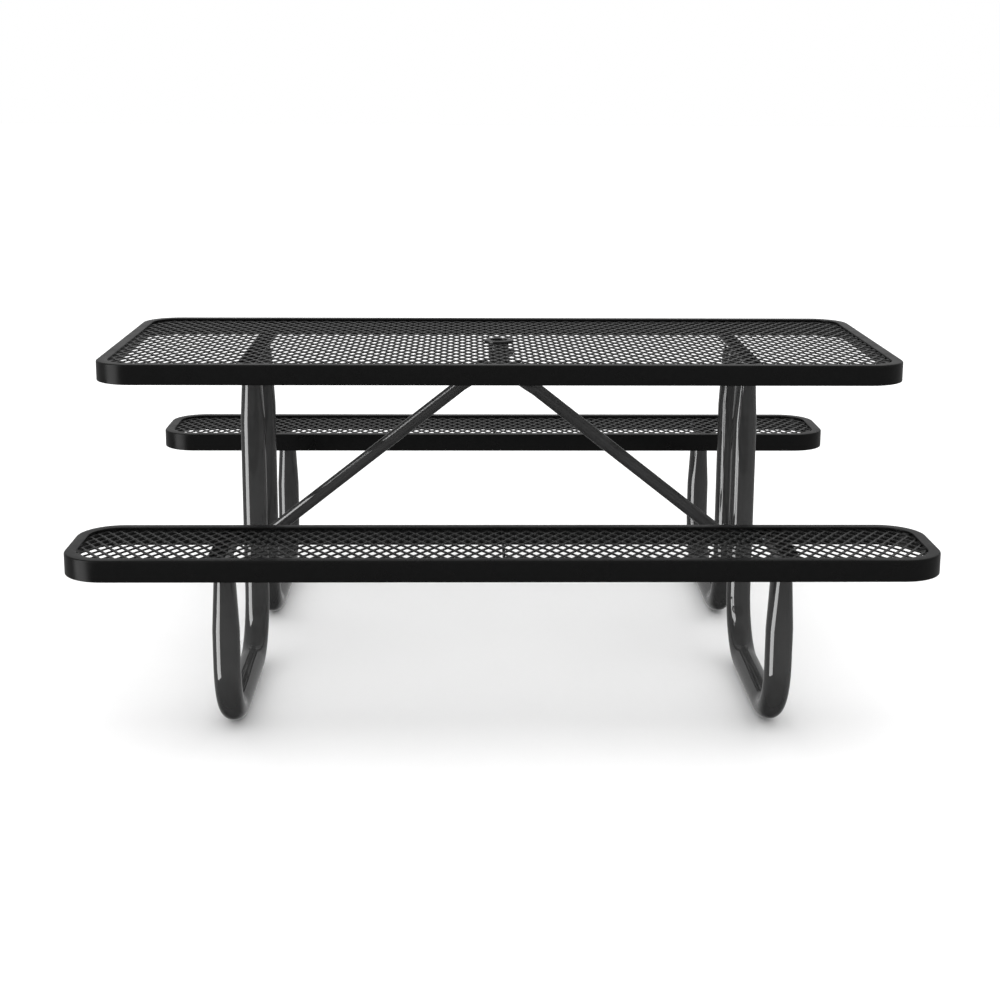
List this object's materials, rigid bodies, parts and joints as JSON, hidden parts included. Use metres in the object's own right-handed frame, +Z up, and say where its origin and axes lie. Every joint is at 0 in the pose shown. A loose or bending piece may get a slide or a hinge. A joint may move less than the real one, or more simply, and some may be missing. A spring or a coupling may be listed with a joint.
{
  "type": "picnic table",
  "caption": "Rectangular picnic table with a meshed steel top, two meshed benches, bent tube legs, diagonal braces and an umbrella hole with a set screw.",
  "frame": {"origin": "on the floor, under the middle of the tabletop", "axes": "+X along the table, +Y from the front bench to the back bench, +Z up"},
  "size_m": [1.8288, 1.5536, 0.762],
  "materials": {
    "rim_coating": "satin thermoplastic coating over formed steel",
    "mesh_coating": "satin thermoplastic coating over expanded steel mesh",
    "leg_coating": "high gloss black powder coat",
    "brace_coating": "gloss black powder coat",
    "bracket_coating": "semi-gloss black powder coat",
    "zinc_hardware": "bright zinc plating"
  },
  "bodies": {
    "table": {"back_leg_left": "leg_coating", "back_leg_right": "leg_coating", "back_seat_centre_strap": "bracket_coating", "back_seat_cross_angle_left": "bracket_coating", "back_seat_cross_angle_right": "bracket_coating", "back_seat_mesh": "mesh_coating", "back_seat_plate_left": "bracket_coating", "back_seat_plate_right": "bracket_coating", "back_seat_rim": "rim_coating", "brace_bolts": "zinc_hardware", "brace_hub_plates": "bracket_coating", "brace_left": "brace_coating", "brace_nuts": "zinc_hardware", "brace_right": "brace_coating", "front_leg_left": "leg_coating", "front_leg_right": "leg_coating", "front_seat_centre_strap": "bracket_coating", "front_seat_cross_angle_left": "bracket_coating", "front_seat_cross_angle_right": "bracket_coating", "front_seat_mesh": "mesh_coating", "front_seat_plate_left": "bracket_coating", "front_seat_plate_right": "bracket_coating", "front_seat_rim": "rim_coating", "leg_cross_tie_left": "brace_coating", "leg_cross_tie_right": "brace_coating", "seat_bolts": "zinc_hardware", "seat_nuts": "zinc_hardware", "set_screw_boss": "bracket_coating", "tabletop_bolts": "zinc_hardware", "tabletop_cross_angle_left": "bracket_coating", "tabletop_cross_angle_right": "bracket_coating", "tabletop_mesh": "mesh_coating", "tabletop_nuts": "zinc_hardware", "tabletop_plate_left": "bracket_coating", "tabletop_plate_right": "bracket_coating", "tabletop_rim": "rim_coating", "umbrella_ring": "bracket_coating", "umbrella_sleeve": "bracket_coating", "washers": "zinc_hardware"},
    "set_screw": {"set_screw": "zinc_hardware"}
  },
  "joints": [
    {"name": "set_screw_turn", "type": "hinge", "parent": "table", "child": "set_screw", "pos_m": [0.03, 0, 0.7312], "axis": [1, 0, 0], "range_deg": [-630, 630]}
  ]
}
